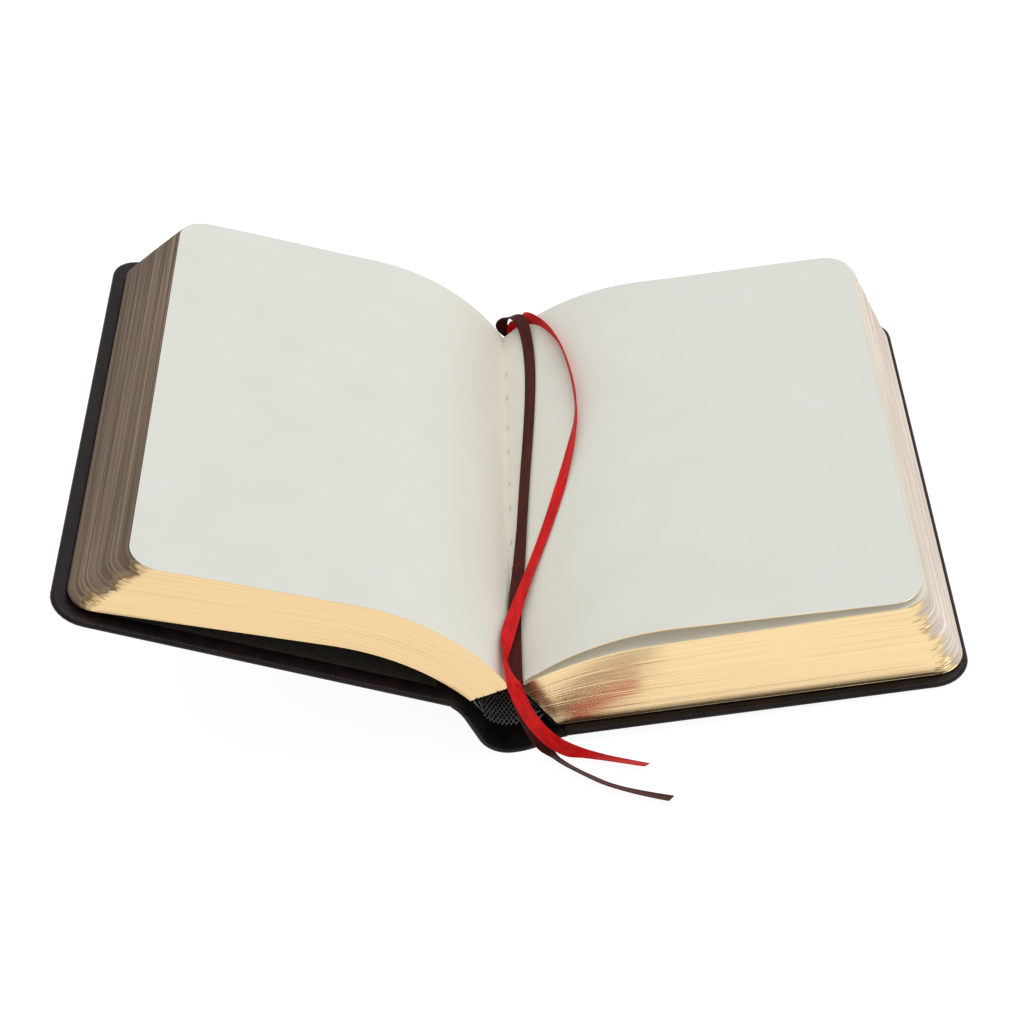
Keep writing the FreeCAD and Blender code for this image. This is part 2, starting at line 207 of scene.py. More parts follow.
def shell(name, place, size, rings, depth, finishes, columns=40, rows=36):
    """Closed form: rings is a list of (inset, level); place(run, y, level) gives mm. An
    inset up to 1 is a mix of two outlines, so it may differ round the rim; a larger one has
    its own outline. The UV map is (run, y) on the faces, (way round, depth) on the wall."""
    width, height, corner = size
    tops = [rim_grid(width, height, corner, float(np.min(ring[0])), columns, rows)
            for ring in (rings[0], rings[-1])]
    count = tops[0].shape[0]
    loop = loop_order(count, rows)
    outer = rim_grid(width, height, corner, 0.0, columns, rows).reshape(-1, 2)[loop]
    inner = rim_grid(width, height, corner, 1.0, columns, rows).reshape(-1, 2)[loop]
    along = np.concatenate([[0], np.cumsum(np.linalg.norm(np.diff(
        np.vstack([outer, outer[:1]]), axis=0), axis=1))])
    flats, loops, total = [], [], 0
    parts, runs = [], []
    for grid, ring in zip(tops, (rings[0], rings[-1])):
        flat = grid.reshape(-1, 2)
        parts.append(place(flat[:, 0], flat[:, 1], np.full(len(flat), ring[1])))
        runs.append(flat[:, 0])
        flats.append(flat)
        loops.append(total + loop)
        total += len(flat)
    wall = [loops[0]]
    for inset, level in rings[1:-1]:
        if np.ndim(inset) == 0 and inset > 1.0:
            path = rim_grid(width, height, corner, inset, columns, rows).reshape(-1, 2)[loop]
        else:
            path = outer + (inner - outer) * np.reshape(inset, (-1, 1))
        parts.append(place(path[:, 0], path[:, 1], np.full(len(path), level)))
        runs.append(path[:, 0])
        wall.append(total + np.arange(len(path)))
        total += len(path)
    wall.append(loops[1])
    wall = np.array(wall)
    levels = np.array([ring[1] for ring in rings]) * depth
    top_quads = grid_quads(count, rows)
    bottom_quads = grid_quads(count, rows, len(flats[0]))[:, ::-1]
    after = np.roll(wall, -1, axis=1)
    wall_quads = np.stack([wall[:-1], wall[1:], after[1:], after[:-1]], -1).reshape(-1, 4)
    (u0, v0), (u1, v1) = (np.meshgrid(along[part], levels[part])
                          for part in (slice(None, -1), slice(1, None)))
    pairs = (u0, v0), (u0, v1), (u1, v1), (u1, v0)
    wall_uv = np.stack([np.stack(pair, -1) for pair in pairs], 2)
    both = np.vstack(flats)
    uv = np.concatenate([both[top_quads], both[bottom_quads], wall_uv.reshape(-1, 4, 2)])
    index = np.repeat([0, 0, 1], [len(top_quads), len(bottom_quads), len(wall_quads)])
    fore = np.clip((np.concatenate(runs) - (width - corner)) / corner, 0, 1)
    quads = np.concatenate([top_quads, bottom_quads, wall_quads])
    piece = link_mesh(name, np.concatenate(parts), quads, uv,
                      index if len(finishes) > 1 else index * 0, finishes, fore)
    turn_outward(piece)
    return piece


def turn_outward(piece):
    """Flips every face if the signed volume, the sum of a . (b x c) / 6, is negative."""
    mesh = piece.data
    mesh.calc_loop_triangles()
    corners = np.empty(len(mesh.loop_triangles) * 3, np.int32)
    mesh.loop_triangles.foreach_get("vertices", corners)
    place = np.empty(len(mesh.vertices) * 3, np.float32)
    mesh.vertices.foreach_get("co", place)
    a, b, c = place.reshape(-1, 3)[corners.reshape(-1, 3)].astype(float).transpose(1, 0, 2)
    if np.einsum("ij,ij->i", a, np.cross(b, c)).sum() < 0:
        mesh.flip_normals()


def sheet_solid(name, upper, lower, uv_size, finish):
    """Closed sheet between two grids of one shape; its four sides join their borders."""
    n, m = upper.shape[:2]
    vertices = np.concatenate([upper.reshape(-1, 3), lower.reshape(-1, 3)])
    top = grid_quads(n, m)
    bottom = grid_quads(n, m, n * m)[:, ::-1]
    loop = loop_order(n, m)
    after = np.roll(loop, -1)
    side = np.stack([loop, loop + n * m, after + n * m, after], -1)
    u, v = np.meshgrid(np.linspace(0, uv_size[0], n), np.linspace(0, uv_size[1], m), indexing="ij")
    flat = np.stack([u, v], -1).reshape(-1, 2)
    both = np.concatenate([flat, flat])
    quads = np.concatenate([top, bottom, side])
    piece = link_mesh(name, vertices, quads, both[quads],
                      np.zeros(len(quads), int), [finish])
    turn_outward(piece)
    return piece


print("helpers ready")

# %% [markdown]
# ## Finishes
# Every finish is a small node tree on the Principled shader. A pattern that belongs to a
# surface, such as the edges of leaves or a weave, reads the piece's own UV map, whose units
# are metres along the rim and across the leaves. Grain that is the same in every direction
# reads Object coordinates, so it has no seams.

# %% Material helpers


def linear(red, green, blue):
    """0-255 display values as linear light: ((c + 0.055) / 1.055) ^ 2.4 above a small toe."""
    c = np.array([red, green, blue]) / 255
    light = np.where(c <= 0.04045, c / 12.92, ((c + 0.055) / 1.055) ** 2.4)
    return (*[float(x) for x in light], 1.0)


def material(name, **sockets):
    """A Principled material with the sockets that are the same all over set directly."""
    made = bpy.data.materials.new(name)
    made.use_nodes = True
    shader = made.node_tree.nodes["Principled BSDF"]
    for key, value in sockets.items():
        shader.inputs[key.replace("_", " ")].default_value = value
    return made, made.node_tree, shader


def node(tree, kind, links=None, **values):
    """Adds a node, links (socket: output) pairs and sets the other values."""
    made = tree.nodes.new(kind)
    for key, value in values.items():
        setattr(made, key, value)
    for key, value in (links or {}).items():
        socket = made.inputs[key]
        if isinstance(value, bpy.types.NodeSocket):
            tree.links.new(value, socket)
        else:
            socket.default_value = value
    return made


def ramp(tree, source, stops):
    """Colour ramp from a list of (position, colour)."""
    made = node(tree, "ShaderNodeValToRGB", {"Fac": source})
    elements = made.color_ramp.elements
    for index, (position, colour) in enumerate(stops):
        element = elements[index] if index < 2 else elements.new(position)
        element.position = position
        element.color = colour
    return made.outputs["Color"]


def noise(tree, vector, scale, detail=3.0, rough=0.55):
    """Fractal noise, about 0.5 on average."""
    return node(tree, "ShaderNodeTexNoise", {"Vector": vector, "Scale": scale, "Detail": detail,
                                             "Roughness": rough}).outputs["Fac"]


def stretched(tree, vector, scale):
    """The coordinates multiplied by one factor for each axis."""
    return node(tree, "ShaderNodeMapping", {"Vector": vector, "Scale": scale}).outputs["Vector"]


def maths(tree, operation, *values):
    """One sum on one or two values."""
    return node(tree, "ShaderNodeMath", dict(enumerate(values)), operation=operation).outputs[0]


def spread(tree, value, limits=(0.0, 1.0), ends=(0.0, 1.0)):
    """A value between two limits brought evenly to two ends, and held there past them."""
    return node(tree, "ShaderNodeMapRange", {
        "Value": value, "From Min": limits[0], "From Max": limits[1],
        "To Min": ends[0], "To Max": ends[1]}).outputs["Result"]


def grey(level):
    """A grey in linear light."""
    return (level, level, level, 1)


def mix_values(first, second, share):
    """first + (second - first) x share for two colours."""
    return tuple(a + (b - a) * share for a, b in zip(first, second))


def mix(tree, amount, first, second, blend="MIX"):
    """first and second colours mixed by amount."""
    made = node(tree, "ShaderNodeMix", data_type="RGBA", blend_type=blend)
    for key, value in ((0, amount), (6, first), (7, second)):
        if isinstance(value, bpy.types.NodeSocket):
            tree.links.new(value, made.inputs[key])
        else:
            made.inputs[key].default_value = value
    return made.outputs[2]


def bump(tree, shader, height, distance, strength=1.0):
    """Bump of a given depth in metres on a shader's normal."""
    made = node(tree, "ShaderNodeBump", {"Height": height, "Distance": distance,
                                         "Strength": strength})
    tree.links.new(made.outputs["Normal"], shader.inputs["Normal"])


def coordinates(tree, kind):
    """Object or UV coordinates."""
    return node(tree, "ShaderNodeTexCoord").outputs[kind]


print("material helpers ready")

# %% [markdown]
# ### Paper
# Book paper is matte and nearly white, a little warmer where it turns down into the fold,
# with a faint cloudiness and a fine tooth. The UV map's first axis is the distance from the
# fold, so a ramp on it places the warmth. A second paper, for the page under the raised
# leaf, is painted a shade warmer and given a faint warm glow: painted light that stands in
# for the light coming to it through that leaf.

# %% Paper
WARM_REACH = 0.045                 # metres from the fold over which the warmth dies away


def make_paper(name, fold_tone, middle_tone, flat_tone, painted_glow):
    """Tone by distance from the fold x cloud by place, with a fine tooth as bump."""
    # The emission below is a painted warm glow, painted light with no lamp behind it.
    made, tree, shader = material(name, Roughness=0.82, Specular_IOR_Level=0.15,
                                  Emission_Color=(0.8, 0.66, 0.46, 1.0),
                                  Emission_Strength=painted_glow)
    uv = coordinates(tree, "UV")
    run = node(tree, "ShaderNodeSeparateXYZ", {"Vector": uv}).outputs["X"]
    tone = ramp(tree, spread(tree, run, (0.0, WARM_REACH)),
                [(0.0, fold_tone), (1.0, flat_tone), (0.35, middle_tone)])
    place = coordinates(tree, "Object")
    cloud = ramp(tree, noise(tree, place, 55, 5), [(0.3, (0.965, 0.965, 0.96, 1)),
                                                   (0.7, grey(1.0))])
    tree.links.new(mix(tree, 1.0, tone, cloud, "MULTIPLY"), shader.inputs["Base Color"])
    bump(tree, shader, noise(tree, place, 2600, 4), 0.00006, 0.5)
    return made


paper = make_paper("paper", linear(225, 222, 209), linear(218, 217, 206), linear(213, 214, 207),
                   0.0)
# The page under the raised leaf: warmer tones and a painted glow, painted light standing in for
# light through that leaf.
paper_painted_glow = make_paper("paper_painted_glow", linear(215, 207, 190), linear(215, 210, 196),
                          linear(214, 211, 199), 0.13)

# %% [markdown]
# ### Gilt edges
# The edges of the leaves were ground flat and gilded, then opened, so the gold breaks into
# hair lines wherever two leaves part. Stretching noise along the leaves and squeezing it
# across them draws those lines. On the fore-edge the gold is worn away and bare paper shows,
# so a noise threshold that follows the "fore" attribute gives a ragged change from one to
# the other, with a painted dark reflection streak along its border.

# %% Gilt
WEAR_WIDTH = 0.22                  # from the first worn spots to bare paper, in wear level
GOLD_ROUGHNESS, BARE_ROUGHNESS = 0.24, 0.75
# Brown of a painted dark reflection streak along the border of the wear.
PAINTED_STREAK_BROWN = linear(62, 44, 32)


def make_gilt(name, gold, deep, bare_and_shade, bare_line_and_shade, edge_wear, group_pitch, painted_streak):
    """Gold with deep hair lines, mixed with bare paper by wear. Wear rises from 0 to 1 as
    fore + 1.5 x patchy noise passes edge_wear, and metal and gloss fall with it."""
    made, tree, shader = material(name, Specular_IOR_Level=0.4)
    uv = coordinates(tree, "UV")
    fine = noise(tree, stretched(tree, uv, (14, 5200, 1)), 1.0, 3)
    groups = noise(tree, stretched(tree, uv, (5, group_pitch, 1)), 1.0, 4, 0.6)
    patches = noise(tree, stretched(tree, uv, (60, 260, 1)), 1.0, 5, 0.65)
    shine = ramp(tree, groups, [(0.3, deep), (0.42, gold), (0.36, mix_values(deep, gold, 0.6))])
    shine = mix(tree, ramp(tree, fine, [(0.3, grey(0.28)), (0.5, grey(0.0))]), shine, deep)
    bare = ramp(tree, groups, [(0.36, bare_and_shade), (0.62, bare_line_and_shade),
                               (0.48, mix_values(bare_and_shade, bare_line_and_shade, 0.35))])
    bare = mix(tree, ramp(tree, fine, [(0.34, grey(0.5)), (0.6, grey(0.0))]),
               bare, mix_values(bare_and_shade, (0.1, 0.07, 0.05, 1), 0.55))
    fore = node(tree, "ShaderNodeAttribute", attribute_name="fore").outputs["Fac"]
    level = maths(tree, "ADD", fore, maths(tree, "MULTIPLY", patches, 1.5))
    wear = spread(tree, level, (edge_wear, edge_wear + WEAR_WIDTH))
    # A painted dark reflection streak runs along the border between gold and bare paper.
    edge = spread(tree, level, (edge_wear - 0.12, edge_wear + 0.05))
    streak_share = maths(tree, "MULTIPLY", maths(tree, "SUBTRACT", edge, wear), painted_streak)
    gilded = mix(tree, wear, shine, bare)
    tree.links.new(mix(tree, streak_share, gilded, PAINTED_STREAK_BROWN), shader.inputs["Base Color"])
    tree.links.new(spread(tree, wear, ends=(0.97, 0.04)), shader.inputs["Metallic"])
    tree.links.new(spread(tree, wear, ends=(GOLD_ROUGHNESS, BARE_ROUGHNESS)),
                   shader.inputs["Roughness"])
    bump(tree, shader, fine, 0.00004, 0.5)
    return made


back_gilt = make_gilt("gilt_edge_back", linear(241, 213, 164), linear(158, 116, 72),
                      linear(204, 188, 172), linear(242, 233, 221), 1.28, 1100, 0.15)
# On the front half the bare fore-edge paper and its lines are painted dark brown, a painted shade;
# on the back half the same paper keeps its own pinkish tone.
front_gilt = make_gilt("gilt_edge_front", linear(235, 206, 156), linear(172, 130, 84),
                       linear(82, 65, 52), linear(150, 130, 108), 1.22, 1500, 0.9)
print("paper and gilt made")

# %% [markdown]
# ### Leather, endpaper, cloth and thread
# The case is thin black goatskin: small rounded pebbles from a Voronoi pattern over softer
# noise, low in colour and satin in sheen. The lining of the spine is an open black cloth
# whose threads cross on the diagonal, made from two wave patterns at a right angle. The
# pasted paper, the board's card and the thread are plain, so speckled noise is enough.

# %% Dark finishes


def make_leather(name, dark, light, pebble):
    """Tint and gloss follow soft noise, and the bump is pebbles + that noise."""
    made, tree, shader = material(name, Specular_IOR_Level=0.2)
    place = coordinates(tree, "Object")
    cells = node(tree, "ShaderNodeTexVoronoi", {"Vector": place, "Scale": pebble},
                 feature="SMOOTH_F1").outputs["Distance"]
    soft = noise(tree, place, 180, 5)
    tint = ramp(tree, soft, [(0.35, dark), (0.7, light)])
    tree.links.new(tint, shader.inputs["Base Color"])
    tree.links.new(spread(tree, soft, ends=(0.3, 0.5)), shader.inputs["Roughness"])
    bump(tree, shader, maths(tree, "ADD", cells, soft), 0.00022, 0.55)
    return made


def wave_scale(pitch):
    """The scale that gives a wave texture one crest for each pitch in metres."""
    return math.pi / (10 * pitch)


def make_cloth(name, dark, light, pitch, turned):
    """The higher of two sine waves at a right angle: light on the threads, dark between."""
    made, tree, shader = material(name, Roughness=0.85, Specular_IOR_Level=0.15)
    uv = coordinates(tree, "UV")
    waves = []
    for angle in (turned, turned + math.pi / 2):
        aligned = node(tree, "ShaderNodeMapping", {"Vector": uv, "Rotation": (0, 0, angle)})
        waves.append(node(tree, "ShaderNodeTexWave", {
            "Vector": aligned.outputs["Vector"], "Scale": wave_scale(pitch),
            "Distortion": 0.4}, wave_profile="SIN").outputs["Fac"])
    high = maths(tree, "MAXIMUM", *waves)
    tree.links.new(ramp(tree, high, [(0.8, dark), (0.98, light)]), shader.inputs["Base Color"])
    bump(tree, shader, high, 0.00025, 0.8)
    return made


def make_speckled(name, dark, light, grain, detail, rough, gloss, tooth=None):
    """Two tones mixed by noise of one grain, and a finer noise as bump if it has a tooth."""
    made, tree, shader = material(name, Roughness=rough, Specular_IOR_Level=gloss)
    place = coordinates(tree, "Object")
    tree.links.new(ramp(tree, noise(tree, place, grain, detail), [(0.3, dark), (0.7, light)]),
                   shader.inputs["Base Color"])
    if tooth:
        bump(tree, shader, noise(tree, place, tooth, 3), 0.00006, 0.6)
    return made


cover_leather = make_leather("cover_leather", linear(14, 9, 9), linear(34, 20, 19), 1500)
spine_leather = make_leather("spine_leather", linear(19, 19, 18), linear(35, 32, 29), 1700)
endpaper = make_speckled("endpaper", linear(48, 46, 40), linear(66, 61, 53), 700, 5,
                         0.6, 0.12, tooth=1900)
card = make_speckled("board_card", linear(130, 120, 104), linear(165, 154, 136), 500, 6, 0.9, 0.2)
lining_cloth = make_cloth("lining_cloth", linear(14, 14, 13), linear(214, 211, 202), 0.0017,
                          math.pi / 4)
mull_cloth = make_cloth("mull_cloth", linear(10, 9, 9), linear(40, 36, 32), 0.0007, 0.0)
thread = make_speckled("linen_thread", linear(176, 168, 150), linear(208, 204, 190), 2500, 3,
                       0.7, 0.3)
print("dark finishes made")

# %% [markdown]
# ### Satin ribbon
# Ribbon is woven with long floats across its width, so it has a soft sheen, fine cross
# ribs and a firm darker selvedge on each side. The UV map's first axis runs along the
# ribbon and the second across it.

# %% Ribbon satin
RIBBON_WIDTH, RIBBON_DEPTH = 4.0, 0.24
RIB_PITCH = 0.00042
SELVEDGE = (0.00155, 0.00175)      # metres from the middle where the selvedge fades in


def make_satin(name, colour, shade, sheen):
    """Cloudy tone, darker where |across - half the width| passes the selvedge's limits."""
    made, tree, shader = material(name, Roughness=0.55, Specular_IOR_Level=0.12,
                                  Sheen_Weight=0.04, Sheen_Roughness=0.4, Sheen_Tint=sheen)
    uv = coordinates(tree, "UV")
    ribs = node(tree, "ShaderNodeTexWave", {"Vector": uv, "Scale": wave_scale(RIB_PITCH),
                                            "Distortion": 0.6}).outputs["Fac"]
    cloud = noise(tree, stretched(tree, uv, (160, 900, 1)), 1.0, 4)
    tone = ramp(tree, cloud, [(0.3, shade), (0.62, colour)])
    across = node(tree, "ShaderNodeSeparateXYZ", {"Vector": uv}).outputs["Y"]
    middle = maths(tree, "SUBTRACT", across, RIBBON_WIDTH * MM / 2)
    border = spread(tree, maths(tree, "ABSOLUTE", middle), SELVEDGE)
    dark = mix(tree, 0.45, tone, shade)
    tree.links.new(mix(tree, border, tone, dark), shader.inputs["Base Color"])
    bump(tree, shader, ribs, 0.00008, 0.6)
    return made


red_satin = make_satin("red_satin", linear(214, 20, 22), linear(168, 10, 14),
                       linear(255, 150, 140))
brown_satin = make_satin("brown_satin", linear(76, 23, 14), linear(46, 13, 9),
                         linear(190, 130, 110))
print("finishes:", len(bpy.data.materials))

# %% [markdown]
# ## Ribbons
# A ribbon is a flat cord: a smooth line with a width. Its line is a spline through air and
# over paper, with a few listed points. A facing direction at each point says which way
# the flat side looks, so the ribbon can lie on a page, stand on its edge in the fold and turn
# over the edge of the leaves. The sheet is then carried along the line read back from it.

# %% Ribbon helpers
PAGE = None                        # faces as the raised leaf does at that place


def page_facing(x):
    """Normal of the raised leaf at x: its heading is its rise less run / bend, in radians,
    until it lies as it ends."""
    rise, lie, bend = (RAISED_LEAF[key][0] for key in ("rise", "lie", "bend"))
    run = np.linspace(0, 60, 241)
    line = leaf_section(RAISED_LEAF, 0.0, run)
    heading = math.radians(rise) - np.minimum(run, bend * math.radians(rise - lie)) / bend
    at = float(np.interp(x, line[:, 0], heading))
    return (-math.sin(at), 0.0, math.cos(at))


def spline_line(name, points):
    """Points along a NURBS spline of order 3 that starts and ends at its end points."""
    data = bpy.data.curves.new(name + "_line", "CURVE")
    data.dimensions = "3D"
    data.resolution_u = 16
    spline = data.splines.new("NURBS")
    spline.points.add(len(points) - 1)
    spline.points.foreach_set("co", np.hstack([np.array(points) * MM,
                                               np.ones((len(points), 1))]).ravel())
    spline.order_u = 3
    spline.use_endpoint_u = True
    curve = bpy.data.objects.new(name + "_line", data)
    bpy.context.scene.collection.objects.link(curve)
    mesh = bpy.data.meshes.new_from_object(curve)
    line = np.empty(len(mesh.vertices) * 3)
    mesh.vertices.foreach_get("co", line)
    bpy.data.objects.remove(curve)
    bpy.data.meshes.remove(mesh)
    return line.reshape(-1, 3) / MM


def ribbon(name, stations, finish):
    """Sheet along the line: across = facing x tangent, facing squared up to the tangent,
    and the cross-section a shallow cup with a thicker selvedge at each side."""
    points = [station[0] for station in stations]
    line = spline_line(name, points)
    tangent = np.gradient(line, axis=0)
    tangent /= np.linalg.norm(tangent, axis=1)[:, None]
    near = np.array([np.argmin(np.linalg.norm(line - p, axis=1)) for p in points], float)
    near = np.maximum.accumulate(near)
    facing = np.array([page_facing(s[0][0]) if s[1] is None else s[1] for s in stations])
    up = np.stack([np.interp(np.arange(len(line)), near, facing[:, i]) for i in range(3)], -1)
    up -= np.einsum("ij,ij->i", up, tangent)[:, None] * tangent
    up /= np.linalg.norm(up, axis=1)[:, None]
    across = np.cross(tangent, up)
    share = np.array([-1.0, -0.96, -0.82, -0.55, -0.25, 0.0, 0.25, 0.55, 0.82, 0.96, 1.0])
    cup = 0.10 * share ** 2
    thick = RIBBON_DEPTH / 2 * np.where(np.abs(share) > 0.8, 1.15, 1.0)
    thick[[0, -1]] *= 0.35
    wide = line[:, None] + across[:, None] * (share * RIBBON_WIDTH / 2)[None, :, None]
    upper = wide + up[:, None] * (cup + thick)[None, :, None]
    lower = wide + up[:, None] * (cup - thick)[None, :, None]
    total = np.linalg.norm(np.diff(line, axis=0), axis=1).sum()
    piece = sheet_solid(name, upper, lower, (total, RIBBON_WIDTH), finish)
    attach(piece, "back_half")
    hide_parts(name)
    print(name, "line %.1f mm" % total)


HEADWARD, TAILWARD, UPWARD = (0.0, 1.0, 0.15), (0.0, -1.0, 0.15), (0.0, 0.0, 1.0)
RED_STATIONS = [
    ((-1.3, 85.4, 18.5), HEADWARD), ((-0.6, 86.0, 24.0), (-0.3, 0.9, 0.1)),
    ((3.2, 84.2, 26.8), (-0.9, 0.3, 0.35)), ((9.4, 76.2, 29.9), (-0.86, -0.5, 0.0)),
    ((15.4, 61.0, 32.9), (-0.84, -0.58, -0.12)), ((19.0, 40.5, 33.8), (-0.97, -0.24, 0.1)),
    ((20.0, 22.5, 33.2), (-0.97, -0.1, 0.26)), ((17.5, 7.0, 32.0), (-0.85, -0.39, 0.79)),
    ((13.0, -11.0, 30.1), PAGE), ((7.7, -27.7, 28.1), PAGE), ((2.5, -41.2, 26.1), PAGE),
    ((-1.5, -54.5, 25.9), (-0.2, 0.0, 1.0)), ((-4.2, -66.5, 26.7), (0.6, 0.0, 0.8)),
    ((-5.2, -74.8, 27.3), (1.0, -0.1, 0.12)), ((-4.0, -82.5, 27.9), (0.85, -0.3, 0.4)),
    ((-2.4, -88.4, 26.0), (0.3, -1.0, 0.4)), ((-0.9, -89.8, 18.5), TAILWARD),
    ((2.2, -89.4, 8.8), (0.3, -1.0, 0.2)), ((6.7, -89.1, 2.2), (0.5, -0.6, 0.6)),
    ((12.3, -91.2, 1.3), (0.3, 0.1, 0.95)), ((18.9, -94.6, 1.5), (0.28, 0.4, 0.9)),
    ((28.6, -99.0, 1.6), (0.26, 0.52, 0.82))]
BROWN_STATIONS = [
    ((1.4, 85.2, 17.0), HEADWARD), ((-5.0, 86.2, 21.6), HEADWARD),
    ((-3.0, 86.6, 26.4), (-0.3, 0.8, 0.5)), ((3.0, 82.6, 28.4), (-0.2, 0.3, 0.9)),
    ((4.9, 69.5, 27.0), PAGE), ((5.3, 49.6, 26.9), PAGE), ((3.9, 25.1, 26.3), PAGE),
    ((2.0, 2.4, 25.4), PAGE), ((0.5, -19.4, 24.7), PAGE), ((-0.8, -36.0, 24.3), (-0.3, 0.0, 1.0)),
    ((-2.1, -49.0, 24.2), UPWARD), ((-2.7, -62.0, 24.3), UPWARD),
    ((-2.7, -74.0, 24.4), UPWARD), ((-2.7, -84.0, 24.2), UPWARD),
    ((-2.5, -87.2, 20.5), TAILWARD), ((-1.3, -87.6, 12.0), TAILWARD),
    ((0.7, -88.3, 4.8), (0.45, -0.5, 0.5)), ((4.1, -91.8, 1.7), (0.56, 0.42, 0.7)),
    ((10.2, -97.9, 1.7), (0.5, 0.5, 0.72)), ((20.8, -106.8, 1.7), (0.46, 0.45, 0.79)),
    ((34.4, -112.6, 1.6), (0.3, 0.4, 0.92))]

# %% Ribbons
ribbon("red_ribbon", RED_STATIONS, red_satin)
ribbon("brown_ribbon", BROWN_STATIONS, brown_satin)

# %% [markdown]
# ## The sections of leaves
# A section is tens of leaves sewn as one, drawn as one closed shell with its edges stepped
# in thin groups. Each section bends where it meets the fold when the book shuts; here its
# shell stands for both the gutter node and the outer node of the imported model.

# %% Leaf shells
draws = np.random.default_rng(11)
SECTION_COLUMNS, SECTION_ROWS = 34, 34
RIM = 2 * (SECTION_COLUMNS + CORNER_STEPS - 1) + 2 * (SECTION_ROWS - 1)
LEAF = (LEAF_WIDTH, LEAF_HEIGHT, LEAF_CORNER)
GROUP_DEPTH = 0.24                 # of one small group of leaves
GROOVE = 0.05                      # between two sections
CALM = 0.08                        # share of the steps left at head, tail and fold


def leaf_waves(run, y):
    """Slow cockling of a leaf in mm, from three crossed sines, none at the fold."""
    wave = (0.22 * np.sin(run / 19 + y / 41) + 0.16 * np.sin(y / 17 - run / 33)
            + 0.10 * np.sin(run / 9.5 + y / 23 + 1.3))
    return wave * np.clip(run / 30, 0, 1)


def leaf_place(half, lift=1.0):
    """Placing function of a half: the leaf's section at (share, run), raised by waves that
    fade from the top leaf to the bottom one. The tuck carries the top leaf into the fold."""
    def place(run, y, share):
        tuck = half["tuck"] * np.clip(1 - share * half["fade"], 0, 1)
        reach = run * (mixed(half["width"], share) + tuck) / LEAF_WIDTH - tuck
        point = leaf_section(half, share, reach)
        wave = leaf_waves(run, y) * (1 - share) * lift
        normal = heading_vector(mixed(half["lie"], share) + 90) * half["side"]
        point = point + normal * wave[:, None]
        return np.stack([point[:, 0], y, point[:, 1]], -1)
    return place


def leaf_rings(share_0, share_1, depth):
    """(inset, share) rings of a section's wall: a shallow groove at each end, and between
    them steps of random depth, one for each small group of leaves, that wander along it.
    The steps are full only on the fore-edge, since the other sides were trimmed smooth."""
    count = max(3, int(round((share_1 - share_0) * depth / GROUP_DEPTH)))
    position = np.linspace(0, 2 * np.pi, RIM, endpoint=False)
    corner = SECTION_COLUMNS + CORNER_STEPS - 1
    opened = np.full(RIM, CALM)
    opened[corner - 6:corner + SECTION_ROWS + 6] = 1.0
    rings = [(GROOVE, share_0)]
    for share in np.linspace(share_0, share_1, count + 1)[1:-1]:
        step = draws.uniform(0.0, 0.2) + (0.22 if draws.random() < 0.16 else 0.0)
        drift = 0.06 * np.sin(position * draws.integers(2, 9) + draws.uniform(0, 6))
        rings.append((np.clip((step + drift) * opened, 0.004, 0.45), share))
    rings.append((GROOVE, share_1))
    return rings


def along(half, share, run):
    """A point of the row frame in metres on the middle of a leaf."""
    return row_point(leaf_section(half, share, run))


def section(name, half, shares, gilt, bend_runs):
    """A section's shell, in place of its gutter and outer nodes; the points found at bend_runs go
    unused.
    """
    # The page under the raised leaf takes the paper with painted warmth and a painted glow.
    page = paper_painted_glow if name == "back_section_1" else paper
    piece = shell(name + "_leaves", leaf_place(half), LEAF, leaf_rings(*shares, half["depth"]),
                  half["depth"], [page, gilt], SECTION_COLUMNS, SECTION_ROWS)
    along(half, 0.5, bend_runs[0])
    along(half, 0.5, bend_runs[1])
    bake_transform(piece)
    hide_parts(name, name + "_gutter")


FRONT_SECTIONS = (("front_top_leaf", 0.0, 0.02), ("front_section_1", 0.02, 0.26),
                  ("front_section_2", 0.26, 0.50), ("front_section_3", 0.50, 0.74),
                  ("front_section_4", 0.74, 0.98), ("front_flyleaf", 0.98, 1.0))
BACK_SECTIONS = (("back_section_1", 0.0, 0.18), ("back_section_2", 0.18, 0.36),
                 ("back_section_3", 0.36, 0.54), ("back_section_4", 0.54, 0.77),
                 ("back_section_5", 0.77, 0.98), ("back_flyleaf", 0.98, 1.0))
for name, *shares in FRONT_SECTIONS:
    section(name, FRONT_HALF, shares, front_gilt, (2.0, 38.0))
for name, *shares in BACK_SECTIONS:
    section(name, BACK_HALF, shares, back_gilt, (38.0, 1.0))
print("sections:", len(FRONT_SECTIONS) + len(BACK_SECTIONS))

# %% [markdown]
# ## The raised leaf
# One leaf stands a little off the block on the right and shows a sliver of shade under its
# gilt rim. It is the same shell with almost no depth, and its section curves near the fold.

# %% Raised leaf
raised = shell("raised_leaf_page", leaf_place(RAISED_LEAF, 0.8), LEAF,
               [(0.05, 0.0), (0.0, 0.5), (0.05, 1.0)], RAISED_LEAF["depth"], [paper, back_gilt],
               60, 44)
along(RAISED_LEAF, 0.0, 8.0)
along(RAISED_LEAF, 0.0, 25.0)
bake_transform(raised)
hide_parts("raised_leaf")
print("raised leaf:", len(raised.data.polygons), "faces")

# %% [markdown]
# ## Covers
# Each cover is a board wrapped in leather that is turned in round three sides, with black
# paper pasted over the middle. The wrapped rim is rolled, not sharp, so the shell's rings
# follow a half round between the inside and the outside face.

# %% Covers
RIM_PROFILE = [(7.0, 1.66), (6.7, 1.72), (6.4, 1.90), (2.2, 1.96), (1.0, 1.93), (0.45, 1.78),
               (0.14, 1.45), (0.0, 1.0), (0.14, 0.55), (0.45, 0.22), (1.0, 0.07), (2.2, 0.0)]
PASTED_PROFILE = [(0.3, 2.06), (0.05, 2.03), (0.0, 1.98), (0.3, 1.72)]
PASTED_MARGIN, PASTED_CORNER = 5.4, 4.0


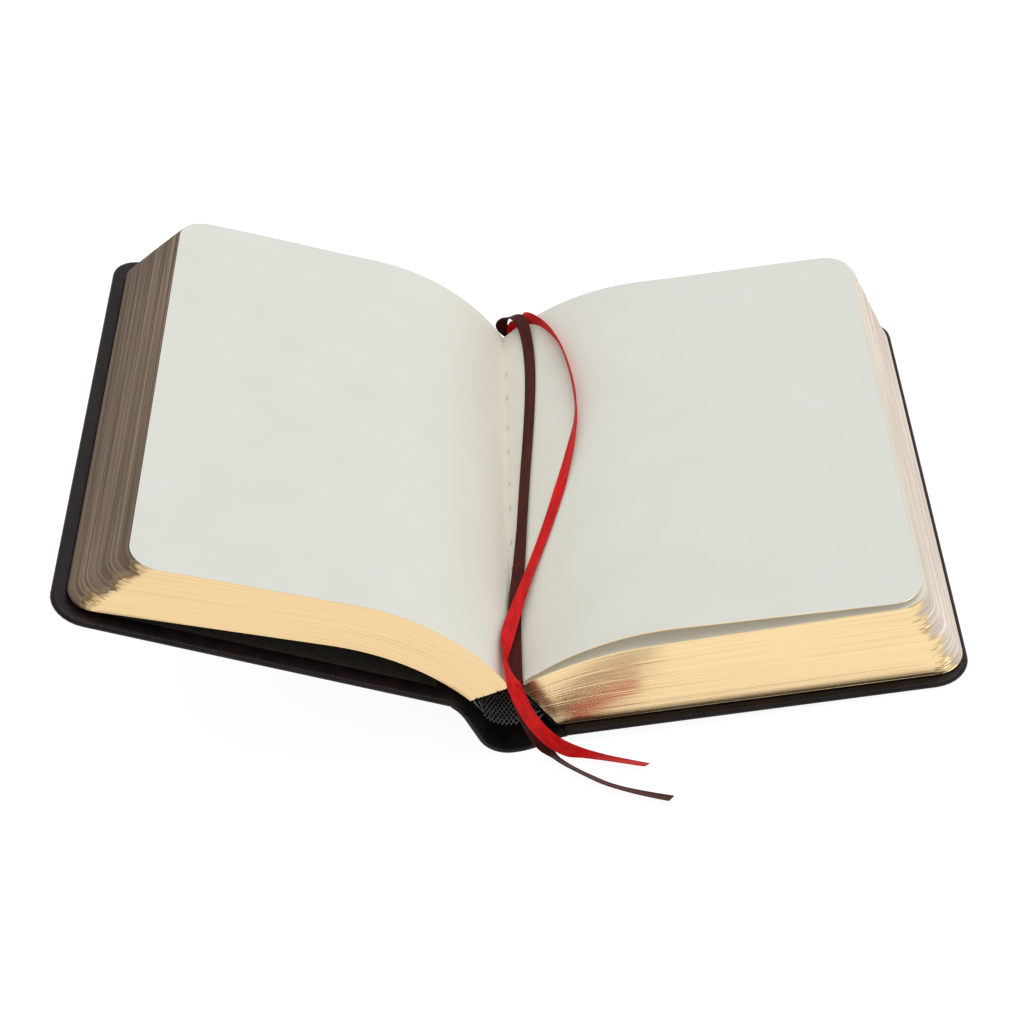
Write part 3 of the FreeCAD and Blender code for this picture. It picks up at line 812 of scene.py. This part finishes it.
def cover_place(hinge, heading, side):
    """hinge + run along the heading + level at a right angle to it, towards the leaves."""
    ahead, across = heading_vector(heading), heading_vector(heading + 90) * side

    def place(run, y, level):
        point = hinge + run[:, None] * ahead + level[:, None] * across
        return np.stack([point[:, 0], y, point[:, 1]], -1)
    return place


def cover(side_name, body, hinge, heading, side):
    """The leather case, the pasted paper a margin inside its rim, and the board's finish."""
    place = cover_place(hinge, heading, side)
    leather = shell(side_name + "_cover_case", place, (COVER_WIDTH, COVER_HEIGHT, COVER_CORNER),
                    RIM_PROFILE, 1.0, [cover_leather], 44, 44)
    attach(leather, body)
    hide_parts(side_name + "_cover_leather")
    size = (COVER_WIDTH - 2 * PASTED_MARGIN, COVER_HEIGHT - 2 * PASTED_MARGIN, PASTED_CORNER)
    sheet = shell(side_name + "_pasted_paper",
                  lambda run, y, level: place(run + PASTED_MARGIN, y, level),
                  size, PASTED_PROFILE, 1.0, [endpaper], 30, 30)
    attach(sheet, body)
    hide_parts(side_name + "_pastedown")
    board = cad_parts[side_name + "_board"]
    board.data.materials.clear()
    board.data.materials.append(card)


cover("back", "back_half", BACK_HINGE, BACK_TILT, 1.0)
cover("front", "front_cover", FRONT_HINGE, 180 - FRONT_TILT, -1.0)
print("covers tilt", BACK_TILT, "and", FRONT_TILT, "degrees")

# %% [markdown]
# ## The hollow spine
# The spine is one strip of leather that hangs from cover to cover in a U. At head and tail it
# is folded back on itself for a centimetre, and cloth lines it between those folds. It is made
# by carrying a flat profile, with its rounded end folds, along a line whose corners are arcs.
# Two narrow strips join it to the covers, each with a little sag, like a crease.

# %% Spine
SPINE_ROUTE = np.array([(3.564, 2.2), (-3.536, 0.0), (-14.536, 0.0), (-18.936, 16.3)])
SPINE_BENDS = (20.0, 9.0)
LEATHER_DEPTH, TURN_IN = 0.9, 10.0
LINING_HALF_LENGTH, LINING_ROWS, LINING_FACES = 75.2, 60, (0.92, 1.28)


def rounded_route(points, bends, spacing=0.8):
    """(X, Z) points and right-hand sides along straight runs joined by arcs: each corner is
    cut back by bend x tan(turn / 2) and its arc stepped by heading."""
    headings = np.degrees(np.arctan2(np.diff(points[:, 1]), np.diff(points[:, 0]))) % 360
    line, facing = [points[:1]], [heading_vector(headings[:1] - 90)]
    for corner, bend, before, after in zip(points[1:-1], bends, headings, headings[1:]):
        turn = (after - before + 180) % 360 - 180
        cut = bend * math.tan(math.radians(abs(turn)) / 2)
        sign = 1 if turn > 0 else -1
        enter = corner - cut * heading_vector(before)
        centre = enter + bend * sign * heading_vector(before + 90)
        steps = before + turn * np.linspace(0, 1, max(4, int(bend * abs(turn) / 57 / spacing)))
        line.append(centre - bend * sign * heading_vector(steps + 90))
        facing.append(heading_vector(steps - 90))
    line.append(points[-1:])
    facing.append(heading_vector(headings[-1:] - 90))
    return np.concatenate(line), np.concatenate(facing)


def carried(line, facing, y, low, high):
    """Two grids, lower and upper, of a sheet whose two faces stand off a line."""
    grids = []
    for level in (low, high):
        level = np.broadcast_to(level, (len(line), len(y)))
        point = line[:, None] + facing[:, None] * level[..., None]
        grids.append(np.stack([point[..., 0], np.broadcast_to(y, level.shape), point[..., 1]], -1))
    return grids


def rolled_ends(length, thick, fold, fold_depth, steps=7):
    """y stations and two face levels of a strip folded back at both ends: a half round
    of the folded thickness, the fold's inner face, then a step down to the plain strip."""
    angle = np.linspace(0, np.pi / 2, steps)
    full = thick + fold_depth
    round_y = full / 2 * (1 - np.cos(angle))
    half_depth = full / 2 * np.sin(angle)
    inside = np.array([fold - 0.9, fold - 0.35, fold])
    y = np.concatenate([round_y, [2.5, 5.0], inside, [fold + 6, 30.0, 50.0, 70.0]])
    low = np.concatenate([full / 2 - half_depth, np.zeros(9)])
    high = np.concatenate([full / 2 + half_depth, [full, full, full, full - 0.12, thick],
                           np.full(4, thick)])
    y = np.concatenate([y - length / 2, -(y - length / 2)[::-1]])
    return y, np.concatenate([low, low[::-1]]), np.concatenate([high, high[::-1]])


def strip(name, line, facing, bodies, ends, nodes, profile, finish, slot):
    """A strip carried along a line, in place of the nodes it hides."""
    y, low, high = profile
    lower, upper = carried(line, facing, y, low, high)
    length = np.linalg.norm(np.diff(line, axis=0), axis=1).sum()
    piece = sheet_solid(name, upper, lower, (length, y[-1] - y[0]), finish)
    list(bodies)
    row_point(ends[0])
    row_point(ends[1])
    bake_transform(piece)
    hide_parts(*nodes)


route, route_facing = rounded_route(SPINE_ROUTE, SPINE_BENDS)
spine_ends = (SPINE_ROUTE[1], SPINE_ROUTE[-1])
strip("spine_case", route, route_facing, ("spine", "front_joint"), spine_ends,
      ("spine_leather", "spine_tail_turn_in", "spine_head_turn_in"),
      rolled_ends(COVER_HEIGHT, LEATHER_DEPTH, TURN_IN, 0.5), spine_leather, "black_leather")
lining_profile = (np.linspace(-LINING_HALF_LENGTH, LINING_HALF_LENGTH, LINING_ROWS),
                  *(np.full(LINING_ROWS, level) for level in LINING_FACES))
strip("spine_lining", route, route_facing, ("spine", "front_joint"), spine_ends,
      ("spine_lining_cloth",), lining_profile, lining_cloth, "lining_cloth")


def joint_line(first, second, sag=0.25):
    """A short line between two points, sagging like a crease in soft leather."""
    share = np.linspace(0, 1, 9)
    line = first + (second - first) * share[:, None]
    ahead = (second - first) / np.linalg.norm(second - first)
    side = np.array([ahead[1], -ahead[0]])
    line = line + side * (sag * np.sin(np.pi * share))[:, None]
    return line, np.broadcast_to(side, line.shape)


joint_profile = rolled_ends(COVER_HEIGHT, LEATHER_DEPTH, TURN_IN, 0.3)
back_first, back_second = BACK_HINGE + (0.9, 0.05), SPINE_ROUTE[0] + (-0.3, -0.12)
strip("back_joint_crease", *joint_line(back_first, back_second), ("back_half", "spine"),
      (back_first, back_second), ("back_joint_leather",), joint_profile, spine_leather,
      "black_leather")
front_edge = FRONT_HINGE + heading_vector(180 - FRONT_TILT) * 0.9
strip("front_joint_crease", *joint_line(SPINE_ROUTE[-1] + (0.1, -0.35), front_edge),
      ("front_joint", "front_cover"), (SPINE_ROUTE[-1], front_edge), ("front_joint_leather",),
      joint_profile, spine_leather, "black_leather")
print("spine line", len(route), "stations")

# %% [markdown]
# ## The back of the block
# The sections are sewn and glued into a strip of open cloth, cut by hand and left ragged at
# head and tail. A scrap of the same cloth holds the ribbons. Each strip is a thin sheet whose
# ends wander with a random, seeded outline.

# %% Cloth on the block's back
CLOTH_DEPTH = 0.4


def ragged_strip(name, node_name, half, lift, y_low, y_high, ragged):
    """A strip across a half's folds, lift to its right, with ends that wander in y."""
    first, second = (np.array(point) for point in half["fold"])
    count, rows = 26, 40
    share = np.linspace(0, 1, count)
    ahead = (second - first) / np.linalg.norm(second - first)
    side = np.array([ahead[1], -ahead[0]])
    low = y_low + ragged * draws.uniform(-1, 1, count)
    high = y_high + ragged * draws.uniform(-1, 1, count)
    y = low[:, None] + (high - low)[:, None] * np.linspace(0, 1, rows)[None]
    pucker = 0.05 * np.sin(y / 2.3 + share[:, None] * 9)
    grids = []
    for level in (lift, lift + math.copysign(CLOTH_DEPTH, lift)):
        point = first + (second - first) * share[:, None]
        point = point[:, None] + side * (level + pucker)[..., None]
        grids.append(np.stack([point[..., 0], y, point[..., 1]], -1))
    piece = sheet_solid(name, grids[0], grids[1],
                        (np.linalg.norm(second - first), y_high - y_low), mull_cloth)
    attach(piece, "block_back")
    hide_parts(node_name)
    print(name, len(piece.data.polygons), "faces")


ragged_strip("front_mull_strip", "front_mull", FRONT_HALF, -0.35, -82.6, 82.2, 0.9)
ragged_strip("back_mull_strip", "back_mull", BACK_HALF, 0.35, -82.6, 82.2, 0.9)
ragged_strip("ribbon_anchor_patch", "ribbon_anchor", FRONT_HALF, -0.85, 59.5, 77.5, 0.5)

# %% [markdown]
# ## Stitches
# In the middle of the fold short lengths of linen thread come up through the paper and go
# down again. Each is a two-ply twist: a tube whose radius swells twice round its section and
# turns as it goes, rising from the fold and sinking back, with its ends drawn to a point.

# %% Stitches
STITCH_LENGTH, STITCH_RADIUS, STITCH_RISE = 2.4, 0.15, 0.18
STITCH_ASIDE = 6.0                 # of two stitches that share a hole, from the hole
HOLES = 5


def stitches(stations, steps=25, sides=12):
    """radius x (1 + 0.18 cos(2 angle - twist)) x end taper, round a bowed centre line.
    Returns vertices and quads, without the quads at the tips that fold to a triangle."""
    t = np.linspace(0, 1, steps)
    angle = np.linspace(0, 2 * np.pi, sides + 1)[:-1]
    taper = np.sqrt(np.clip(1 - (2 * t - 1) ** 6, 0.02, 1))
    swell = 1 + 0.18 * np.cos(2 * angle[None] - 14 * t[:, None])
    ring = STITCH_RADIUS * taper[:, None] * swell
    middle = (np.array(FRONT_HALF["fold"][0]) + np.array(BACK_HALF["fold"][0])) / 2
    x = middle[0] + ring * np.cos(angle)
    z = middle[1] + STITCH_RISE * np.sin(np.pi * t)[:, None] + ring * np.sin(angle)
    y = np.broadcast_to(((t - 0.5) * STITCH_LENGTH)[:, None], x.shape)
    one = np.stack([x, y, z], -1).reshape(-1, 3)
    grid = np.arange(steps * sides).reshape(steps, sides)
    after = np.roll(grid, -1, axis=1)
    quads = np.stack([grid[:-1], grid[1:], after[1:], after[:-1]], -1).reshape(-1, 4)
    caps = []
    for end in (grid[0], grid[-1]):
        first = end[:sides // 2 + 1]
        second = np.concatenate([end[sides // 2:], end[:1]])[::-1]
        caps.append(np.stack([first[:-1], first[1:], second[1:], second[:-1]], -1))
    quads = np.concatenate([quads, caps[0], caps[1][:, ::-1]])
    offsets = np.array([[0.0, station, 0.0] for station in stations])
    vertices = (one[None] + offsets[:, None]).reshape(-1, 3)
    firsts = np.arange(len(stations)) * len(one)
    quads = (quads[None] + firsts[:, None, None]).reshape(-1, 4)
    return vertices, quads[[len(set(quad)) == 4 for quad in quads.tolist()]]


spacing = LEAF_HEIGHT / (HOLES + 1)
stations = [-LEAF_HEIGHT / 2 + spacing * (i + 1) + side * STITCH_ASIDE
            for i in range(HOLES) for side in (-1, 1)]
vertices, quads = stitches(stations)
piece = link_mesh("stitch_threads", vertices, quads, vertices[quads][..., 1:],
                  np.zeros(len(quads), int), [thread])
turn_outward(piece)
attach(piece, "block_back")
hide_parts("sewing_stitches")
print("stitches:", len(stations))

# %% [markdown]
# ## Light and floor
# The book lies on a plain white table in a bright, even room. A white world lights it from
# all round, and one broad soft lamp above adds a little direction. The table glows enough to
# read as white, as a light table does, so the shadows on it stay faint.

# %% Studio
LAMP_PLACE = (0.5, 0.15, 1.05)
TABLE_SIDE, TABLE_LEVEL = 4000.0, -0.25


def studio():
    """World, lamp turned to the origin, and the table."""
    scene = bpy.context.scene
    scene.view_settings.view_transform = "Standard"
    world = bpy.data.worlds.new("studio")
    scene.world = world
    world.use_nodes = True
    background = world.node_tree.nodes["Background"]
    background.inputs["Color"].default_value = (1.0, 1.0, 1.0, 1.0)
    background.inputs["Strength"].default_value = 0.66
    lamp = bpy.data.lights.new("soft_box", "AREA")
    lamp.energy = 7.8
    lamp.size = 1.2
    box = bpy.data.objects.new("soft_box", lamp)
    box.location = LAMP_PLACE
    box.rotation_euler = (-Vector(LAMP_PLACE)).to_track_quat("-Z", "Y").to_euler()
    scene.collection.objects.link(box)
    made, tree, shader = material("table_white", Roughness=0.9, Specular_IOR_Level=0.1,
                                  Emission_Color=grey(1.0), Emission_Strength=0.92)
    cloud = ramp(tree, noise(tree, coordinates(tree, "Object"), 3),
                 [(0.0, grey(0.19)), (1.0, grey(0.21))])
    tree.links.new(cloud, shader.inputs["Base Color"])
    corners = np.array([[x * TABLE_SIDE, y * TABLE_SIDE, TABLE_LEVEL]
                        for x, y in ((-1, -1), (1, -1), (1, 1), (-1, 1))])
    floor = link_mesh("table", corners, np.array([[0, 1, 2, 3]]), corners[None, :, :2],
                      np.zeros(1, int), [made])


studio()
print("lamp", bpy.data.lights["soft_box"].energy, "W")
